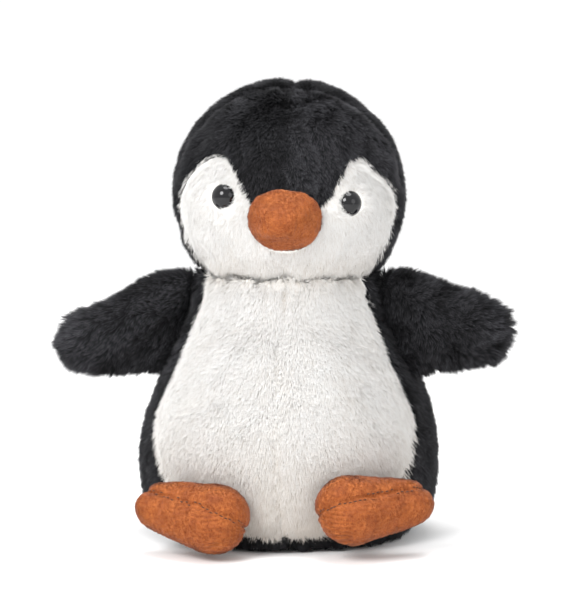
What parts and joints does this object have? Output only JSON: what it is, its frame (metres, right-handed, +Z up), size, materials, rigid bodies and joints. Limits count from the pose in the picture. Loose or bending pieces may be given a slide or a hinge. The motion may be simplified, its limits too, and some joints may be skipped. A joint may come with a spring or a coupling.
{
  "type": "plush penguin",
  "caption": "Seated stuffed penguin in black and white long-pile plush, with a stuffed velboa beak and feet, padded wings and glossy eyes.",
  "frame": {"origin": "middle of the seat, on the table", "axes": "+Z up, the penguin faces -Y, and +X is its own left side"},
  "size_m": [0.2133, 0.1641, 0.218],
  "materials": {
    "black_plush": "matte",
    "white_plush": "matte",
    "orange_velboa": "satin",
    "fibre_fill": "matte",
    "eye_plastic": "gloss",
    "washer_plastic": "matte",
    "pellets": "matte",
    "thread": "matte"
  },
  "bodies": {
    "body": {"belly_panel_left": "white_plush", "belly_panel_right": "white_plush", "back_panel_left": "black_plush", "back_panel_right": "black_plush", "base_panel": "black_plush", "body_stuffing": "fibre_fill", "seat_pellets": "pellets", "neck_seam_thread": "thread"},
    "neck": {"neck_stuffing": "fibre_fill"},
    "head": {"face_panel_left": "white_plush", "face_panel_right": "white_plush", "crown_panel_left": "black_plush", "crown_panel_right": "black_plush", "head_back_panel_left": "black_plush", "head_back_panel_right": "black_plush", "head_stuffing": "fibre_fill", "beak_upper_panel": "orange_velboa", "beak_lower_panel": "orange_velboa", "beak_stuffing": "fibre_fill", "eye_left": "eye_plastic", "eye_right": "eye_plastic", "eye_washer_left": "washer_plastic", "eye_washer_right": "washer_plastic"},
    "wing_root_left": {"wing_left_root": "black_plush"},
    "wing_left": {"wing_left_front_panel": "black_plush", "wing_left_back_panel": "black_plush", "wing_left_stuffing": "fibre_fill"},
    "foot_left": {"foot_left_top_panel": "orange_velboa", "foot_left_sole_panel": "orange_velboa", "foot_left_stuffing": "fibre_fill"},
    "wing_root_right": {"wing_right_root": "black_plush"},
    "wing_right": {"wing_right_front_panel": "black_plush", "wing_right_back_panel": "black_plush", "wing_right_stuffing": "fibre_fill"},
    "foot_right": {"foot_right_top_panel": "orange_velboa", "foot_right_sole_panel": "orange_velboa", "foot_right_stuffing": "fibre_fill"}
  },
  "joints": [
    {"name": "head_turn", "type": "hinge", "parent": "body", "child": "neck", "pos_m": [0, 0, 0.15], "axis": [0, 0, 1], "range_deg": [-25, 25], "stiffness_Nm_per_rad": 0.3},
    {"name": "head_nod", "type": "hinge", "parent": "neck", "child": "head", "pos_m": [0, 0, 0.15], "axis": [1, 0, 0], "range_deg": [-10, 10], "stiffness_Nm_per_rad": 0.6},
    {"name": "wing_left_swing", "type": "hinge", "parent": "body", "child": "wing_root_left", "pos_m": [0.0514, -0.007, 0.103], "axis": [0.3907, 0, -0.9205], "range_deg": [-30, 45], "stiffness_Nm_per_rad": 0.05},
    {"name": "wing_left_lift", "type": "hinge", "parent": "wing_root_left", "child": "wing_left", "pos_m": [0.0514, -0.007, 0.103], "axis": [-0.2588, -0.9659, 0], "range_deg": [-15, 15], "stiffness_Nm_per_rad": 0.05},
    {"name": "wing_right_swing", "type": "hinge", "parent": "body", "child": "wing_root_right", "pos_m": [-0.0514, -0.007, 0.103], "axis": [0.3907, 0, 0.9205], "range_deg": [-30, 45], "stiffness_Nm_per_rad": 0.05},
    {"name": "wing_right_lift", "type": "hinge", "parent": "wing_root_right", "child": "wing_right", "pos_m": [-0.0514, -0.007, 0.103], "axis": [-0.2588, 0.9659, 0], "range_deg": [-15, 15], "stiffness_Nm_per_rad": 0.05},
    {"name": "foot_left_flex", "type": "hinge", "parent": "body", "child": "foot_left", "pos_m": [0, -0.059, 0.02], "axis": [-1, 0, 0], "range_deg": [-8, 25], "stiffness_Nm_per_rad": 0.05},
    {"name": "foot_right_flex", "type": "hinge", "parent": "body", "child": "foot_right", "pos_m": [0, -0.059, 0.02], "axis": [-1, 0, 0], "range_deg": [-8, 25], "stiffness_Nm_per_rad": 0.05}
  ]
}
